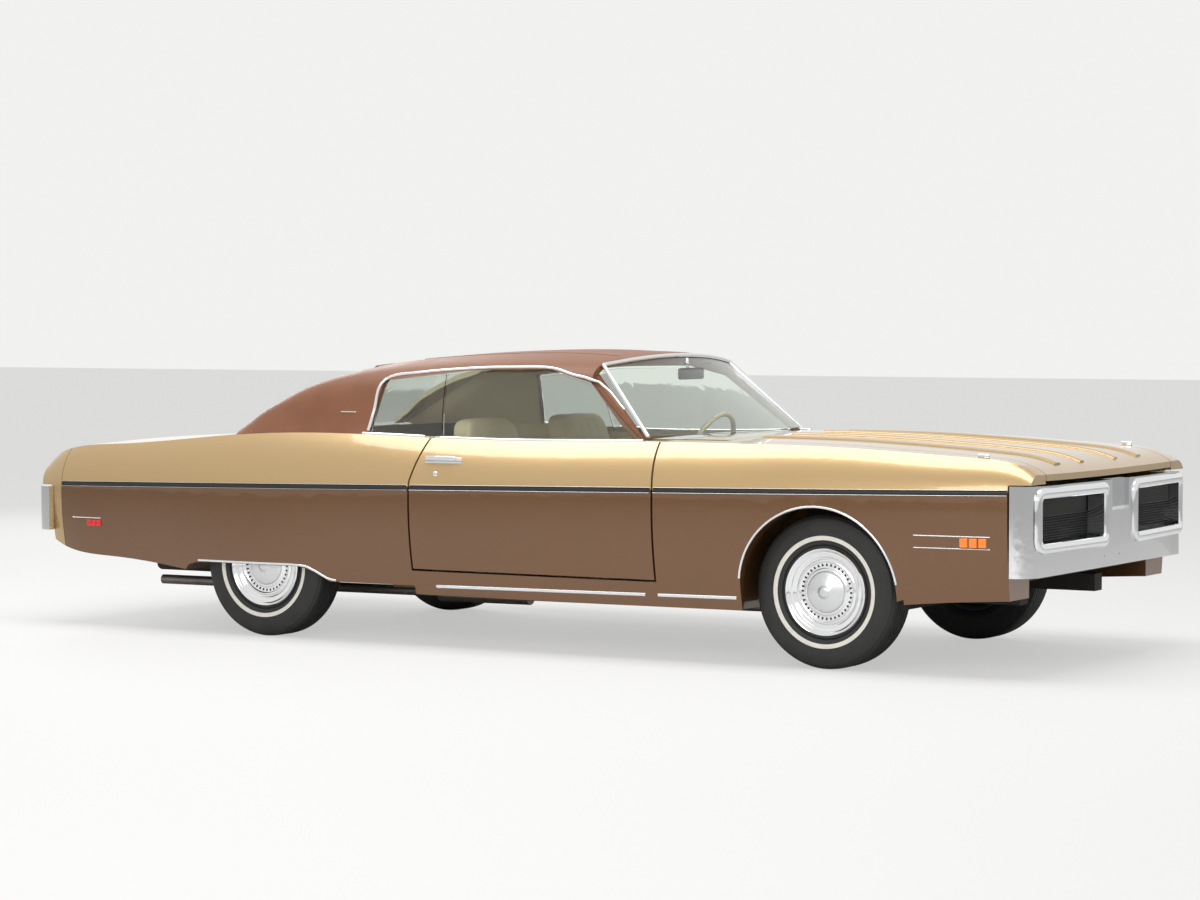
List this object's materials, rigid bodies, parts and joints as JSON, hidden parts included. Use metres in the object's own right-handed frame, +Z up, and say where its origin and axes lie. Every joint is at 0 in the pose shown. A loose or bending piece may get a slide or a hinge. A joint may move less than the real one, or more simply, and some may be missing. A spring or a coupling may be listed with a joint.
{
  "type": "hardtop coupe car",
  "caption": "Full-size two-door hardtop coupe with long hood, looped front bumper, vinyl roof and low rear wheel openings.",
  "frame": {"origin": "on the ground under the middle of the car's box", "axes": "+X forward, +Y the car's left, +Z up"},
  "size_m": [5.5174, 2.0148, 1.4016],
  "materials": {
    "paint": "gold metallic paint, glossy",
    "roof_vinyl": "grained brown vinyl, satin",
    "glass": "clear, faint green tint",
    "chrome": "polished",
    "black_plastic": "dark grey, textured",
    "underbody": "black undercoat, matt",
    "dash_plastic": "dark brown, grained",
    "rim_plastic": "cream, smooth",
    "seat_vinyl": "cream vinyl, sewn channels",
    "iron": "black, dull",
    "pipe_steel": "dull steel",
    "wheel_steel": "bright cover over a dark steel rim",
    "tyre": "black with a narrow white ring"
  },
  "bodies": {
    "body": {"front_fender_left": "paint", "front_fender_right": "paint", "quarter_panel_left": "paint", "quarter_panel_right": "paint", "tail_panel": "paint", "rocker_panels": "paint", "cowl": "paint", "roof": "roof_vinyl", "windshield": "glass", "rear_window": "glass", "quarter_windows": "glass", "front_bumper": "chrome", "rear_bumper": "chrome", "grille": "black_plastic", "radiator_support": "black_plastic", "floor_pan": "underbody", "trunk_floor": "underbody", "rear_shelf": "underbody", "fuel_tank": "underbody", "dashboard": "dash_plastic", "steering_column": "dash_plastic", "front_seats": "seat_vinyl", "rear_seat": "seat_vinyl", "engine_block": "iron", "rear_axle": "iron", "leaf_springs": "iron", "front_suspension": "iron", "exhaust": "pipe_steel"},
    "door_left": {"door_left": "paint", "door_glass_left": "glass"},
    "door_right": {"door_right": "paint", "door_glass_right": "glass"},
    "hood": {"hood": "paint"},
    "trunk_lid": {"trunk_lid": "paint"},
    "knuckle_left": {"knuckle_left": "iron"},
    "knuckle_right": {"knuckle_right": "iron"},
    "steering_wheel": {"steering_wheel": "rim_plastic"},
    "front_wheel_left": {"front_wheel_left": "wheel_steel", "front_tyre_left": "tyre"},
    "front_wheel_right": {"front_wheel_right": "wheel_steel", "front_tyre_right": "tyre"},
    "rear_wheel_left": {"rear_wheel_left": "wheel_steel", "rear_tyre_left": "tyre"},
    "rear_wheel_right": {"rear_wheel_right": "wheel_steel", "rear_tyre_right": "tyre"}
  },
  "joints": [
    {"name": "door_left_open", "type": "hinge", "parent": "body", "child": "door_left", "pos_m": [0.8235, 0.978, 0.7], "axis": [0, 0, -1], "range_deg": [0, 62]},
    {"name": "door_right_open", "type": "hinge", "parent": "body", "child": "door_right", "pos_m": [0.8235, -0.978, 0.7], "axis": [0, 0, 1], "range_deg": [0, 62]},
    {"name": "hood_open", "type": "hinge", "parent": "body", "child": "hood", "pos_m": [1.1485, 0, 1.016], "axis": [0, -1, 0], "range_deg": [0, 50]},
    {"name": "trunk_lid_open", "type": "hinge", "parent": "body", "child": "trunk_lid", "pos_m": [-1.5995, 0, 1.001], "axis": [0, 1, 0], "range_deg": [0, 55]},
    {"name": "steer_left", "type": "hinge", "parent": "body", "child": "knuckle_left", "pos_m": [1.7185, 0.7285, 0.345], "axis": [0, 0, 1], "range_deg": [-30, 30]},
    {"name": "steer_right", "type": "hinge", "parent": "body", "child": "knuckle_right", "pos_m": [1.7185, -0.7285, 0.345], "axis": [0, 0, 1], "range_deg": [-30, 30]},
    {"name": "steering_wheel_turn", "type": "hinge", "parent": "body", "child": "steering_wheel", "pos_m": [0.4575, 0.37, 0.905], "axis": [-0.9135, 0, 0.4067], "range_deg": [-485, 485]},
    {"name": "front_wheel_left_spin", "type": "hinge", "parent": "knuckle_left", "child": "front_wheel_left", "pos_m": [1.7185, 0.7885, 0.345], "axis": [0, 1, 0], "continuous": true},
    {"name": "front_wheel_right_spin", "type": "hinge", "parent": "knuckle_right", "child": "front_wheel_right", "pos_m": [1.7185, -0.7885, 0.345], "axis": [0, 1, 0], "continuous": true},
    {"name": "rear_wheel_left_spin", "type": "hinge", "parent": "body", "child": "rear_wheel_left", "pos_m": [-1.3295, 0.805, 0.345], "axis": [0, 1, 0], "continuous": true},
    {"name": "rear_wheel_right_spin", "type": "hinge", "parent": "body", "child": "rear_wheel_right", "pos_m": [-1.3295, -0.805, 0.345], "axis": [0, 1, 0], "continuous": true}
  ],
  "couplings": [
    {"joint": "steer_right", "follows": "steer_left", "ratio": 1},
    {"joint": "steering_wheel_turn", "follows": "steer_left", "ratio": 16}
  ]
}
